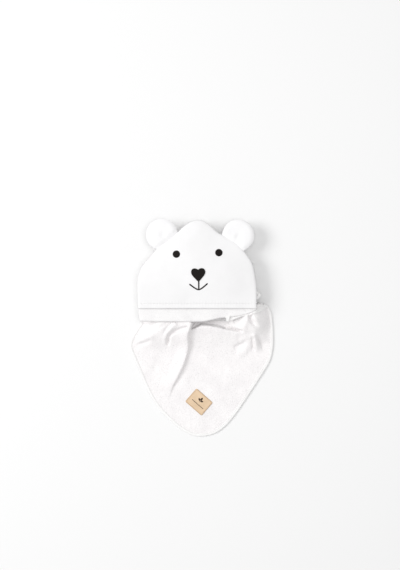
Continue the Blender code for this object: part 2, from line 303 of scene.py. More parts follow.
def looped_terry(name, light, gap_shade, loop=0.0017):
    """Terry pile: crowded small loops with painted shade in the gaps between them, over a soft unevenness
    of the nap.
    """
    material, tree, shader, place = start_material(name, 0.95, sheen=0.25)
    loops = add_texture(tree, place, "Voronoi", Scale=1 / loop, Randomness=0.85)
    fuzz = add_texture(tree, place, "Noise", Scale=2.6 / loop, Detail=4.0, Roughness=0.65)
    nap = add_texture(tree, place, "Noise", Scale=26.0, Detail=3.0, Roughness=0.55)
    # The gaps between the loops get a darker colour: painted shade.
    pile = ramp(tree, loops.outputs["Distance"], [(0.0, light), (0.55, light), (1.0, gap_shade)])
    shade = ramp(tree, nap.outputs["Fac"], [(0.3, (0.93, 0.925, 0.93)), (0.7, (1.0, 1.0, 1.0))])
    dome = add_node(tree, "ShaderNodeMath", operation="MULTIPLY")
    dome.inputs[1].default_value = -1.0
    tree.links.new(loops.outputs["Distance"], dome.inputs[0])
    finish_surface(tree, shader, tinted(tree, pile, shade),
                   [(nap.outputs["Fac"], 0.5, 0.0015), (dome.outputs[0], 0.7, 0.0007),
                    (fuzz.outputs["Fac"], 0.5, 0.0004)])
    return material


# The second colour is the painted shade in the gaps between the loops.
terry = looped_terry("white_terry", (0.92, 0.912, 0.91), (0.77, 0.76, 0.762))

HOOD_RIGHT = 0.985  # how far the hood reaches to each side of its tip, in shares of half its width
HOOD_LEFT = 1.005
panel_low, panel_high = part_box("hood_front_panel")
hood_half = (panel_high.x - panel_low.x) / (HOOD_RIGHT + HOOD_LEFT)
hood_x = panel_low.x + HOOD_LEFT * hood_half
hem_y = panel_low.y
hood_length = panel_high.y - panel_low.y
stack_low, stack_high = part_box("towel_body_folded")

# The seam, in shares of half the width and of the length, from the right end of the hem over the
# tip. At the shoulders its sides turn into its back.
RIGHT_SHOULDER = (0.912, 0.5)
LEFT_SHOULDER = (-0.915, 0.487)
HOOD_OUTLINE = (
    (HOOD_RIGHT, 0.0), (0.984, 0.22), (0.957, 0.375), (0.915, 0.50), (0.84, 0.586), (0.76, 0.655),
    (0.66, 0.730), (0.545, 0.785), (0.425, 0.826), (0.33, 0.860), (0.208, 0.936), (0.1, 0.988),
    (0.0, 0.998), (-0.12, 0.974), (-0.25, 0.914), (-0.345, 0.850), (-0.51, 0.758),
    (-0.675, 0.674), (-0.80, 0.572), (-0.915, 0.487), (-0.977, 0.40), (-HOOD_LEFT, 0.30),
    (-1.003, 0.15), (-0.992, 0.0),
)


def on_hood(share):
    """A flat place from shares of the hood's half width and of its length."""
    return Vector((hood_x + share[0] * hood_half, hem_y + share[1] * hood_length))


hood_line = smooth_through([on_hood(p) for p in HOOD_OUTLINE], 12)


def hood_sides(line, front, inset=0.0):
    """Front, right, back and left sides of a piece that fills the hood's line."""
    line = moved_in(line, inset) if inset else line
    right_end = min(range(len(line)), key=lambda i: (line[i] - on_hood(RIGHT_SHOULDER)).length)
    left_end = min(range(len(line)), key=lambda i: (line[i] - on_hood(LEFT_SHOULDER)).length)
    return front, line[:right_end + 1], line[right_end:left_end + 1][::-1], line[left_end:][::-1]


# The line of the fold at the front of the hood, from its left end to its right.
back_low, back_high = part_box("hood_back_panel")
band_y = back_low.y
FOLD_POINTS = ((-78, 0.2), (4, 0), (30, 3.5), (56, 8.8), (90, 12.5), (120, 20))  # in millimetres
band_front = smooth_through([(hood_line[-1].x + 0.0042, band_y + 0.0016),
                             *[(hood_x + x, band_y + y) for x, y in in_metres(FOLD_POINTS)],
                             (hood_line[0].x + 0.001, band_y + 0.0290)])
fold_x, fold_y = spots_of(band_front).T

LAYER = stack_high.z / STACK_LAYERS
STACK_MARGIN = 0.009  # the pad lies this far inside the hood's outline
STACK_MOUTH = 0.020  # how far it stays back from the front, where the apron tucks in
STACK_FOOT = 0.006  # the same for the two lowest layers, which lie under the apron
STACK_RAGGED = 0.0025  # how far a layer's folds lie off the next one's
STACK_CELLS = (40, 30)
stack_bm = bmesh.new()
for layer in range(STACK_LAYERS):
    line = moved_in(hood_line, STACK_MARGIN + STACK_RAGGED * math.sin(2.4 * layer + 1.0))
    front_y = stack_low.y + (STACK_MOUTH if layer > 1 else STACK_FOOT) + 0.002 * math.cos(1.9 * layer)
    front = [Vector((line[-1].x + 0.006, front_y)), Vector((line[0].x - 0.006, front_y))]
    if layer == STACK_LAYERS - 1:  # the topmost comes forward to the fold and turns up into the hood
        front = [Vector((x, np.interp(x, fold_x, fold_y) + 0.0022))
                 for x in np.linspace(line[-1].x + 0.002, line[0].x - 0.002, 60)]
    ends_x, ends_y = (front[0].x, front[-1].x), (front[0].y, front[-1].y)
    line = [front[-1], *[p for p in line if p.y > np.interp(p.x, ends_x, ends_y) + 0.012], front[0]]
    piece_bm = cut_cloth(*hood_sides(line, front), *STACK_CELLS)
    rim = spots_of(evenly([*line, *front[1:]], 420))
    middle_z = (layer + 0.5) * LAYER
    reach = gap_to(spots_of(v.co for v in piece_bm.verts), rim)
    half = LAYER / 2 - 0.0001
    round_over = np.sqrt(np.clip(1 - (1 - np.clip(reach / half, 0, 1)) ** 2, 0, 1))
    risen = bmesh.ops.extrude_face_region(piece_bm, geom=piece_bm.faces[:])["geom"]
    raised = {v for v in risen if isinstance(v, bmesh.types.BMVert)}
    share_at = {}
    for v, share in zip([v for v in piece_bm.verts if v not in raised], round_over):
        share_at[(round(v.co.x, 6), round(v.co.y, 6))] = share
    for v in piece_bm.verts:
        share = share_at[(round(v.co.x, 6), round(v.co.y, 6))]
        bow = 0.0006 * rumple(v.co, 0.05, layer)
        v.co.z = middle_z + (half if v in raised else -half) * share + bow
        if layer == 0 and v not in raised:
            v.co.z = max(v.co.z, 0.0003)
    bmesh.ops.remove_doubles(piece_bm, verts=piece_bm.verts[:], dist=0.00005)
    bmesh.ops.recalc_face_normals(piece_bm, faces=piece_bm.faces[:])
    join_into(stack_bm, piece_bm)
stack = finish_piece("folded_towel", stack_bm, terry, "towel")
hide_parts("towel_body_folded")


# ==== Hood: towel corner at the back ====
# The towel's own corner, terry side up, lies under the hood's front and shows as a band below
# its hem. In front it turns down over a soft fold and runs back into the pad.
tab_low, tab_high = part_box("hanging_tab")
BACK_CELLS = (110, 92)
FOLD_RADIUS = 0.0035
back_line = [band_front[-1], *hood_line, band_front[0]]
back_bm = cut_cloth(*hood_sides(back_line, band_front), *BACK_CELLS)
back_top = back_high.z
for v in back_bm.verts:
    ahead = v.co.y - np.interp(v.co.x, fold_x, fold_y)
    drop = FOLD_RADIUS * rolled_down(ahead / FOLD_RADIUS)
    shown = max(0.0, 1 - ahead / 0.04)
    pull = math.exp(-(((v.co.x - hood_x + 0.006 + 0.7 * ahead) / 0.0045) ** 2))
    v.co.z = back_top - drop - 0.0012 * shown * pull
    v.co.z += shown * (0.0014 * rumple(v.co, 0.030, 3.0) + 0.0007 * rumple(v.co, 0.012, 5.0))
    v.co.z -= 0.0006 + 0.00025 * (1 + noise.noise(v.co * 600))
hood_back = finish_piece("hood_back", back_bm, terry, None)
thicken(hood_back, TERRY * 0.8)
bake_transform(hood_back)
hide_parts("hood_back_panel")


# ==== Hood: lining ====
# A thin terry layer sewn in behind the front covers the back of the embroidery. It shows only
# inside the mouth of the hood.
FACE_CLOTH = 0.0022
DOME_SLOPE = 0.11
HEM_LIFT = 0.13  # share of the rise that is left at the hem, left of the middle
HEM_SETTLE = 0.075  # the rise settles over this length behind the hem
LINING_TUCK = 0.0022  # how far the lining stays back from the hem
LINING_CELLS = (60, 50)
lining_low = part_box("hood_lining")[0]
seam_line = spots_of(evenly(hood_line, 400))
seam_z = panel_low.z + FACE_CLOTH
dome_height = panel_high.z - seam_z


def seam_reach(spots):
    """How far flat places lie from the sewn edge of the hood."""
    return gap_to(np.atleast_2d(spots), seam_line)


# The rise is worked out on a fine grid and evened out there, as the cloth evens itself.
DOME_CELL = 0.003
DOME_BLUR = np.exp(-((np.arange(-10, 11) / 4.5) ** 2))
dome_x = np.arange(panel_low.x - 0.03, panel_high.x + 0.03, DOME_CELL)
dome_y = np.arange(hem_y - 0.03, panel_high.y + 0.03, DOME_CELL)


def dome_rise(reach):
    """The rise, from 0 at the seam to 1, before it is evened out."""
    return 1 - (1 - np.clip(reach / DOME_SLOPE, 0, 1)) ** 2


dome_even = dome_rise(seam_reach([(x, y) for y in dome_y for x in dome_x]))
dome_even = dome_even.reshape(len(dome_y), len(dome_x))
for axis in (0, 1):
    dome_even = np.apply_along_axis(
        lambda row: np.convolve(np.pad(row, 10, mode="edge"), DOME_BLUR / DOME_BLUR.sum(), "valid"),
        axis, dome_even)


def evened_rise(spots):
    """The evened-out rise at flat places, read off the grid."""
    u = (spots[:, 0] - dome_x[0]) / DOME_CELL
    v = (spots[:, 1] - dome_y[0]) / DOME_CELL
    i = np.clip(u.astype(int), 0, len(dome_x) - 2)
    j = np.clip(v.astype(int), 0, len(dome_y) - 2)
    u, v = u - i, v - j
    near = dome_even[j, i] * (1 - u) + dome_even[j, i + 1] * u
    far = dome_even[j + 1, i] * (1 - u) + dome_even[j + 1, i + 1] * u
    return near * (1 - v) + far * v


def hood_dome(spots):
    """How far the space for the head lifts the front of the hood, which settles to the hem."""
    spots = np.atleast_2d(spots)[:, :2]
    ahead = spots[:, 1] - hem_y
    reach = seam_reach(spots)
    lift = HEM_LIFT * (1 - smooth_step((spots[:, 0] - hood_x + 0.01) / 0.05))
    settled = lift + (1 - lift) * smooth_step(ahead / HEM_SETTLE)
    inner = smooth_step((reach - 0.006) / 0.034)
    return dome_height * settled * (dome_rise(reach) * (1 - inner) + evened_rise(spots) * inner)


lining_bm = cut_cloth(*hood_sides(hood_line, [hood_line[-1], hood_line[0]], 0.001), *LINING_CELLS)
for v, rise in zip(lining_bm.verts, hood_dome(spots_of(v.co for v in lining_bm.verts))):
    v.co.y += LINING_TUCK * smooth_step(1 - (v.co.y - hem_y) / 0.008)
    v.co.z = lining_low.z + 0.0011 + rise * 0.985 + 0.0002 * noise.noise(v.co * 500)
lining = finish_piece("hood_inside", lining_bm, terry, "hood")
thicken(lining, 0.0009)
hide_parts("hood_lining")


# ==== Hood: front ====
# A smooth, close cotton knit, brushed soft, sewn to the towel's corner along its curved edge and
# turned under at the hem. The seam draws it in all round, so it rises in a low dome.
def brushed_knit(name, light, low):
    """Close knit: fine ribs of stitches along Y under a short nap."""
    material, tree, shader, place = start_material(name, 0.9, sheen=0.3)
    ribs = add_bands(tree, place, "X", 320.0, 1.2, 1.0)
    courses = add_bands(tree, place, "Y", 260.0, 0.8, 1.0)
    nap = add_texture(tree, place, "Noise", Scale=900.0, Detail=5.0, Roughness=0.7)
    soft = add_texture(tree, place, "Noise", Scale=16.0, Detail=3.0)
    finish_surface(tree, shader, ramp(tree, soft.outputs["Fac"], [(0.3, low), (0.7, light)]),
                   [(soft.outputs["Fac"], 0.3, 0.001), (ribs.outputs["Fac"], 0.25, 0.0003),
                    (courses.outputs["Fac"], 0.15, 0.0002), (nap.outputs["Fac"], 0.4, 0.0003)])
    return material


def front_waves(place):
    """The soft unevenness of the hood's front at a place."""
    return 0.0011 * rumple(place, 0.07, 8.0) + 0.0004 * rumple(place, 0.022, 2.0)


white_knit = brushed_knit("white_knit", (0.865, 0.86, 0.865), (0.83, 0.825, 0.83))
HEM_DEPTH = 0.0115  # the hem is turned under this far
HEM_ROLL = 0.0026  # how far in from the hem's fold the cloth turns down
EDGE_ROLL = 0.0055  # the same at the sewn edge
FRONT_CELLS = (150, 120)
front_bm = cut_cloth(*hood_sides(hood_line, [hood_line[-1], hood_line[0]]), *FRONT_CELLS)
spots = spots_of(v.co for v in front_bm.verts)
for v, rise, reach in zip(front_bm.verts, hood_dome(spots), seam_reach(spots)):
    ahead = v.co.y - hem_y
    stitched = math.exp(-((ahead - HEM_DEPTH) / 0.0012) ** 2)
    fold_edge = 0.0003 * smooth_step(1 - (ahead - 0.002) / (HEM_DEPTH - 0.002))
    pucker = 0.00035 * math.exp(-((ahead - HEM_DEPTH) / 0.006) ** 2) * math.sin(v.co.x * 900)
    z = seam_z + rise - 0.0034 * rolled_down(reach / EDGE_ROLL) - 0.0023 * rolled_down(ahead / HEM_ROLL)
    z += fold_edge - 0.0007 * stitched + pucker * min(reach / 0.01, 1)
    v.co.z = z + smooth_step(reach / 0.03) * front_waves(v.co)
hood_front = finish_piece("hood_front", front_bm, white_knit, "hood")
thicken(hood_front, 0.0013)
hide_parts("hood_front_panel")


# ==== Hood: hem stitching ====
# One row of white lockstitch holds the turned hem down, right across the mouth of the hood. Each
# stitch is a short length of twisted thread, half sunk into the knit.
def sewing_thread(name, light, dark):
    """Twisted thread: slanting strands with a little shine."""
    material, tree, shader, place = start_material(name, 0.55, sheen=0.15)
    strands = add_bands(tree, place, "DIAGONAL", 900.0, 1.0, 1.0)
    finish_surface(tree, shader, ramp(tree, strands.outputs["Fac"], [(0.2, dark), (0.8, light)]),
                   [(strands.outputs["Fac"], 0.5, 0.0002)])
    return material


def add_stitch(bm, start, end, width):
    """One plump stitch of thread from start to end."""
    run = end - start
    side = Vector((0, 0, 1)).cross(run).normalized()
    turned = Matrix((run.normalized(), side, run.normalized().cross(side))).transposed().to_4x4()
    size = Matrix.Diagonal((run.length / 2, width / 2, width / 2, 1))
    bmesh.ops.create_uvsphere(bm, u_segments=6, v_segments=5, radius=1.0,
                              matrix=Matrix.Translation((start + end) / 2) @ turned @ size
                              @ Matrix.Rotation(math.pi / 2, 4, "Y"))


def sewn_row(line, pitch, gap, width):
    """A row of lockstitches along a line in space."""
    bm = bmesh.new()
    length = sum((b - a).length for a, b in zip(line, line[1:]))
    count = max(round(length / pitch), 2)
    knots = evenly(line, count + 1)
    for a, b in zip(knots, knots[1:]):
        short = (b - a) * (gap / pitch / 2)
        add_stitch(bm, a + short, b - short, width)
    return bm


white_thread = sewing_thread("white_thread", (0.88, 0.87, 0.86), (0.66, 0.65, 0.64))
row_y = hem_y + HEM_DEPTH
row = [Vector((x, row_y, 0)) for x in np.linspace(hood_line[-1].x + 0.005, hood_line[0].x - 0.004, 90)]
for spot, rise in zip(row, hood_dome(spots_of(row))):
    spot.z = seam_z + rise - 0.0002 + front_waves(spot)
hem_row = finish_piece("hem_stitches", sewn_row(row, 0.0032, 0.0006, 0.0007), white_thread, "hood")
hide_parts("hood_hem_stitching")


# ==== Ears ====
# Each ear is a round of the brushed knit and one of terry, sewn together and turned, slightly
# plump, with a soft dent in the middle. Its open end is caught in the hood's curved seam.
EAR_RADIUS = 0.0365
EAR_TUCK = 0.008  # how far the open end goes in under the hood's edge
EAR_HALF_ROOT = 0.0292
EAR_CELLS = (44, 44)
ear_plush = brushed_knit("ear_plush", (0.90, 0.895, 0.90), (0.855, 0.85, 0.86))
# The two places of each ear's seam, in shares of the hood, are where its root begins and ends.
for side, sign, seam in (("left", -1, ((-0.345, 0.868), (-0.675, 0.674))),
                         ("right", 1, ((0.76, 0.655), (0.415, 0.828)))):
    ear_low, ear_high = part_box(f"ear_{side}_front")
    centre_x = ear_low.x + EAR_RADIUS if sign < 0 else ear_high.x - EAR_RADIUS
    centre = Vector((centre_x, ear_high.y - EAR_RADIUS))
    start, end = (on_hood(p) for p in seam)
    run = (start - end).normalized()
    away = Vector((-run.y, run.x))
    root = (start + end) / 2
    behind = (centre - root).dot(away)
    across = (centre - root).dot(run)

    def on_ear(u, w):
        """A flat place from a distance along the seam and one out from it."""
        return root + run * (across + u) + away * w

    round_points = [(EAR_RADIUS * math.cos(a), behind + EAR_RADIUS * math.sin(a))
                    for a in (math.radians(-18 + 12 * i) for i in range(19))]
    ring = smooth_through([on_ear(EAR_HALF_ROOT - 0.001, -EAR_TUCK), on_ear(EAR_HALF_ROOT + 0.002, 0.0),
                           *[on_ear(*p) for p in round_points],
                           on_ear(-EAR_HALF_ROOT - 0.002, 0.0),
                           on_ear(-EAR_HALF_ROOT + 0.001, -EAR_TUCK)], 6)
    quarter = len(ring) // 4
    sides = ([ring[-1], ring[0]], ring[:quarter + 1], ring[quarter:-quarter][::-1],
             ring[-quarter - 1:][::-1])
    rim = spots_of(evenly(ring, 160))
    for face, up, material, plump in (("front", 1, ear_plush, 0.0046), ("back", -1, terry, 0.0032)):
        ear_bm = cut_cloth(*sides, *EAR_CELLS)
        for v, edge in zip(ear_bm.verts, gap_to(spots_of(v.co for v in ear_bm.verts), rim)):
            flat = v.co.xy - root
            u, w = flat.dot(run) - across, flat.dot(away)
            swell = plump * (1 - (1 - min(edge / 0.013, 1)) ** 2.4) * smooth_step((w + 0.010) / 0.020)
            dent = 0.0017 * math.exp(-((u - 0.001) ** 2 + (w - behind + 0.001) ** 2) / 0.0065**2)
            groove = 0.0005 * math.exp(-((u + 0.2 * w - 0.003) / 0.0030) ** 2)
            groove *= smooth_step((behind - w) / 0.01)
            wave = 0.0007 * rumple(v.co, 0.018, 4.0 + sign)
            loops = 0.00025 * noise.noise(v.co * 650)
            lift = swell - (dent + groove) * (up > 0) + wave * min(edge / 0.01, 1) + loops
            v.co.z = ear_low.z - 0.0004 + up * (0.0002 + lift)
        if up < 0:
            bmesh.ops.reverse_faces(ear_bm, faces=ear_bm.faces[:])
        ear = finish_piece(f"ear_{side}_{'face' if up > 0 else 'underside'}", ear_bm, material, None)
        thicken(ear, 0.0004)
        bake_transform(ear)
        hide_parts(f"ear_{side}_{face}")


# ==== Face ====
# Eyes, nose and mouth are filled with black satin stitch through the hood's front. The threads
# lie side by side and make each shape a low pad with a slight shine, partly a painted highlight along the
# threads.
def satin_thread(name, middle, pattern, scale, rings=False):
    """Black embroidery thread laid in rows or in rings about a middle, with a painted highlight along the
    crest of each thread.
    """
    material, tree, shader, place = start_material(name, 0.55)
    shader.inputs["Specular IOR Level"].default_value = 0.12
    shift = add_node(tree, "ShaderNodeMapping")
    shift.inputs["Location"].default_value = [-c for c in middle]
    tree.links.new(place, shift.inputs["Vector"])
    rows = add_bands(tree, shift.outputs["Vector"], pattern, scale, 0.6)
    if rings:
        rows.wave_type = "RINGS"
        rows.rings_direction = "Z"
    lint = add_texture(tree, place, "Noise", Scale=1400.0, Detail=2.0)
    # The rows are painted lighter along the thread crests, a painted highlight, and darker between them, a
    # painted shade.
    colour = ramp(tree, rows.outputs["Fac"], [(0.1, (0.003, 0.002, 0.002)), (0.9, (0.018, 0.014, 0.012))])
    finish_surface(tree, shader, colour,
                   [(rows.outputs["Fac"], 0.7, 0.0003), (lint.outputs["Fac"], 0.2, 0.0001)])
    return material


def face_z(x, y):
    """The top of the hood's front at a place."""
    return seam_z + float(hood_dome([(x, y)])[0]) + front_waves((x, y))


FACE_SHIFT = Vector((0.0018, -0.0006, 0))  # the smoothed cloth carries the face a little over
for side in ("left", "right"):
    low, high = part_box(f"eye_{side}")
    middle = (low + high) / 2 + FACE_SHIFT
    radius = (high.x - low.x) / 2 * 0.97
    eye_bm = bmesh.new()
    bmesh.ops.create_uvsphere(eye_bm, u_segments=56, v_segments=28, radius=1.0)
    bmesh.ops.bisect_plane(eye_bm, geom=eye_bm.verts[:] + eye_bm.edges[:] + eye_bm.faces[:],
                           plane_co=(0, 0, -0.1), plane_no=(0, 0, -1), clear_outer=True)
    rim_edges = [e for e in eye_bm.edges if e.is_boundary]
    bmesh.ops.contextual_create(eye_bm, geom=rim_edges)
    for v in eye_bm.verts:
        away = math.hypot(v.co.x, v.co.y)
        turn = math.atan2(v.co.y, v.co.x)
        ragged = 1 + 0.012 * math.sin(37 * turn) * away
        flat = middle.xy + v.co.xy * radius * ragged
        pad = 0.0011 * math.copysign(abs(v.co.z) ** 0.6, v.co.z)
        rings = 0.00008 * math.sin(away * 34) * (v.co.z > 0.1)
        v.co = flat.x, flat.y, face_z(*flat) + pad + rings
    eye_satin = satin_thread(f"black_satin_eye_{side}", middle, "X", 300.0, rings=True)
    eye_pad = finish_piece(f"eye_{side}_embroidery", eye_bm, eye_satin, "hood")
    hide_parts(f"eye_{side}")

nose_low, nose_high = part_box("nose")
nose_middle = (nose_low + nose_high) / 2 + FACE_SHIFT
NOSE_SIZE = (nose_high.xy - nose_low.xy) / 2
FACE_TILT = math.radians(2.0)
heart_bm = bmesh.new()
# The right half of the heart from its notch to its point, in shares of half the nose's size.
HEART_HALF = [(0.0, 0.76), (0.14, 0.89), (0.44, 1.0), (0.78, 0.93), (0.99, 0.62), (0.98, 0.22),
              (0.80, -0.12), (0.55, -0.44), (0.31, -0.72), (0.12, -0.93), (0.0, -1.0)]
other_half = [(-x, y) for x, y in HEART_HALF[-2:0:-1]]
heart_line = smooth_through([*HEART_HALF, *other_half, HEART_HALF[0]], 5)
for share in heart_line[:-1]:
    flat = Matrix.Rotation(FACE_TILT, 2) @ Vector((NOSE_SIZE.x * share.x, NOSE_SIZE.y * share.y))
    heart_bm.verts.new((nose_middle.x + flat.x, nose_middle.y + flat.y, 0))
bmesh.ops.contextual_create(heart_bm, geom=heart_bm.verts[:])
bmesh.ops.recalc_face_normals(heart_bm, faces=heart_bm.faces[:])
if heart_bm.faces[:][0].normal.z < 0:
    bmesh.ops.reverse_faces(heart_bm, faces=heart_bm.faces[:])
levels = {v: -0.0003 for v in heart_bm.verts}
# From the rim inwards, each ring's width and height: a border, a groove and the fill.
for thickness, rise in ((0.0005, 0.0009), (0.0010, 0.0013), (0.0008, 0.0012), (0.0005, 0.0008),
                        (0.0007, 0.0011), (0.0020, 0.0014)):
    top = [f for f in heart_bm.faces if len(f.verts) > 4]
    bmesh.ops.inset_region(heart_bm, faces=top, thickness=thickness, use_even_offset=True)
    top = [f for f in heart_bm.faces if len(f.verts) > 4]
    for v in {v for f in top for v in f.verts}:
        levels[v] = rise
for v in heart_bm.verts:
    v.co.z = face_z(v.co.x, v.co.y) + levels.get(v, 0.0012)
bmesh.ops.triangulate(heart_bm, faces=[f for f in heart_bm.faces if len(f.verts) > 4])
nose_satin = satin_thread("black_satin_nose", nose_middle, "Y", 300.0)
heart = finish_piece("nose_embroidery", heart_bm, nose_satin, "hood")
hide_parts("nose")

black_satin = satin_thread("black_satin_lines", (0, 0, 0), "DIAGONAL", 500.0)
MOUTH_WIDTH = 0.0033
THREAD_STEP = 0.00045


def satin_line(name, node, flat_line, width):
    """A line of satin stitch: threads laid close together across it, with round ends."""
    length = sum((b - a).length for a, b in zip(flat_line, flat_line[1:]))
    line = evenly(flat_line, max(round(length / THREAD_STEP), 6))
    bm = bmesh.new()
    for i, spot in enumerate(line):
        run = (line[min(i + 1, len(line) - 1)] - line[max(i - 1, 0)]).normalized()
        across = Vector((-run.y, run.x)) * width / 2
        from_end = min(i, len(line) - 1 - i) * THREAD_STEP
        across *= math.sqrt(max(1 - (1 - min(from_end / (width / 2), 1)) ** 2, 0.15))
        slant = run * 0.0003
        a, b = spot - across - slant, spot + across + slant
        add_stitch(bm, Vector((*a, face_z(*a) + 0.0002)), Vector((*b, face_z(*b) + 0.0002)), 0.0015)
    piece = finish_piece(name, bm, black_satin, "hood")
    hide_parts(node)


smile_low, smile_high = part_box("smile")
smile_middle = Vector(((smile_low.x + smile_high.x) / 2, smile_low.y + MOUTH_WIDTH / 2 + 0.0026))
smile_middle += FACE_SHIFT.xy
smile_half = (smile_high.x - smile_low.x) / 2 - MOUTH_WIDTH / 2
SMILE_UP = 0.0130
SMILE_ROUND = 0.34
smile_reach = math.hypot(1, SMILE_ROUND) - SMILE_ROUND
smile_points = []
for share in np.linspace(-1, 1, 17):
    bend = (math.hypot(share, SMILE_ROUND) - SMILE_ROUND) / smile_reach
    tilted = Matrix.Rotation(FACE_TILT, 2) @ Vector((share * smile_half, SMILE_UP * bend))
    smile_points.append(smile_middle + tilted)
smile_line = smooth_through(smile_points, 6)
satin_line("smile_embroidery", "smile", smile_line, MOUTH_WIDTH)
lip_low, lip_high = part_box("philtrum")
lip_x = (lip_low.x + lip_high.x) / 2 + FACE_SHIFT.x
lip = [Vector((lip_x, y)) for y in np.linspace(smile_middle.y + 0.001, nose_low.y + 0.003, 8)]
satin_line("lip_embroidery", "philtrum", lip, MOUTH_WIDTH)


# ==== Hanging tab ====
# A short end of folded cotton tape, narrowed to its tip and caught under the band at the right,
# where the towel is hung up.
def woven_tape(name, light, low):
    """Bias tape: a fine plain weave, running slantwise, with slight creases."""
    material, tree, shader, place = start_material(name, 0.8, sheen=0.15)
    spin = add_node(tree, "ShaderNodeMapping")
    spin.inputs["Rotation"].default_value = (0, 0, 0.6)
    tree.links.new(place, spin.inputs["Vector"])
    warp, weft = (add_bands(tree, spin.outputs["Vector"], way, 420.0, 0.5) for way in "XY")
    soft = add_texture(tree, place, "Noise", Scale=45.0, Detail=3.0)
    finish_surface(tree, shader, ramp(tree, soft.outputs["Fac"], [(0.3, low), (0.7, light)]),
                   [(soft.outputs["Fac"], 0.4, 0.001), (warp.outputs["Fac"], 0.3, 0.0003),
                    (weft.outputs["Fac"], 0.3, 0.0003)])
    return material


tape = woven_tape("white_tape", (0.93, 0.925, 0.92), (0.88, 0.87, 0.865))
tab_bm = bmesh.new()
bmesh.ops.create_grid(tab_bm, x_segments=12, y_segments=12, size=1.0)
tab_middle = (tab_low + tab_high) / 2
tab_half = (tab_high.x - tab_low.x) / 2
for v in tab_bm.verts:
    s, t = v.co.x, (v.co.y + 1) / 2
    narrow = 0.30 + 0.70 * t
    y = tab_low.y - 0.0010 + t * (tab_high.y - tab_low.y + 0.007)
    z = tab_high.z + 0.0004 + 0.0009 * math.sin(2.2 * t) - 0.0022 * (1 - t) ** 2 + 0.0004 * s * s
    v.co = tab_middle.x + s * tab_half * narrow, y, z
tab = finish_piece("tape_tab", tab_bm, tape, "hood")
thicken(tab, 0.0012)
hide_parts("hanging_tab")


# ==== Apron ====
# The towel's opposite corner is drawn out from under the hood and lies open on the table. It
# comes out gathered at the left and in a bunch at the right, with a hollow between them.
EDGE = 0.0012  # the cloth stops this far inside the binding's outer side
# Its four sides, in millimetres from the frame's origin: under the band, right, tail and left.
BACK_SIDE = [(-137, 16.5), (-60, 17.5), (20, 19), (70, 26), (92, 32), (110, 40), (119, 50), (123.5, 56)]
RIGHT_SIDE = [(123.5, 56), (139, 56.5), (152, 51), (160.5, 38.5), (164.5, 15), (166.2, -18),
              (165.5, -45), (158.6, -76), (139.5, -109), (116.7, -144), (91.4, -182)]
TAIL = [(91.4, -182), (68.4, -213), (48.4, -233), (28.2, -245), (4, -250.5), (-20, -248.5), (-45, -236),
        (-73, -213), (-101, -183)]
LEFT_SIDE = [(-101, -183), (-123.6, -146), (-146.4, -93), (-164, -52), (-166, -41), (-160, -20),
             (-149, -2.5), (-137, 16.5)]
LINE_STEPS = 12
outer_line = smooth_through(in_metres([*RIGHT_SIDE, *TAIL[1:], *LEFT_SIDE[1:]]), LINE_STEPS)
edge_line = moved_in(outer_line, -EDGE)
right_turn = (len(RIGHT_SIDE) - 1) * LINE_STEPS
left_turn = right_turn + (len(TAIL) - 1) * LINE_STEPS
# The edge that lies down, from where it has come off the bunch.
edge_spots = spots_of(evenly(outer_line[30:], 400))


def beside(spots, points):
    """Distance to a line, which side of it (1 on its left), and the share of the way along it."""
    line = spots_of(evenly(smooth_through(in_metres(points), 8), 40))
    start, run = line[:-1], np.diff(line, axis=0)
    away = spots[:, None] - start[None]
    share = np.clip((away * run).sum(axis=2) / (run**2).sum(axis=1), 0, 1)
    gap = np.linalg.norm(away - run * share[..., None], axis=2)
    near = gap.argmin(axis=1)
    pick = np.arange(len(spots))
    turn = run[near, 0] * away[pick, near, 1] - run[near, 1] * away[pick, near, 0]
    return gap[pick, near], np.sign(turn), (near + share[pick, near]) / len(run)


def crease(spots, points, height, left, right, fade=(0.15, 0.3)):
    """A fold (or a groove, with a height below zero) whose two flanks have widths of their own."""
    gap, side, share = beside(spots, points)
    flank = np.where(side > 0, left, right) / 1000
    ends = smooth_step(share / fade[0]) * smooth_step((1 - share) / fade[1])
    return height / 1000 * np.exp(-((gap / flank) ** 2)) * ends


# The folds (height above zero) and grooves (below zero) of the gathered cloth, in millimetres: the
# points of each line, its height and the widths of its left and right flanks. Last come the shares
# of its length over which its two ends fade.
LEFT_FOLDS = [
    # The long fold that runs down the apron, and the groove beside it.
    ([(-21.2, 15), (-28.5, -5), (-32.5, -22.8), (-30.8, -38), (-33.5, -58), (-44, -90), (-57.5, -117),
      (-70, -141), (-82, -178)], 8.5, 4.6, 17, (0.02, 0.45)),
    ([(-17.2, 12), (-24, -5), (-27, -20), (-24.5, -38), (-27, -58), (-37.2, -88.6), (-50, -114),
      (-62.5, -137), (-71.5, -169.5)], -3.4, 8, 2.8, (0.02, 0.4)),
    ([(-26.2, -18), (-24.8, -33), (-26.5, -52)], -3, 3.2, 2.4),
    # The gathers that hook down from under the band.
    ([(-30, 2), (-48, -3), (-66, -10.5), (-74.5, -20), (-76.2, -32), (-77.5, -48)], -7.5, 4, 4,
      (0.05, 0.45)),
    ([(-75.5, -23), (-76.8, -30), (-77.8, -42)], -5, 3, 3),
    ([(-64, 13), (-74.5, 3), (-83, -8), (-88, -20)], -4.5, 4, 4.5, (0.05, 0.5)),
    ([(-76, 12), (-95, 2), (-115, -5), (-131, -10.5)], -1.8, 5, 6, (0.05, 0.5)),
    ([(-56, 12), (-69, 0), (-81, -21), (-85, -45)], 3, 6, 7, (0.05, 0.5)),
    # The crease in from the left edge, and soft waves below it.
    ([(-156, -47.5), (-142, -38.5), (-128, -33), (-110, -24.5)], -3, 3.5, 6.5),
    ([(-150, -33), (-125, -21.5), (-102, -19)], 2.8, 7, 8),
    ([(-83, -56), (-95, -85), (-112, -129)], -1.6, 12, 14),
    ([(-102, -52), (-118, -84), (-124, -110)], 2.2, 16, 15),
]
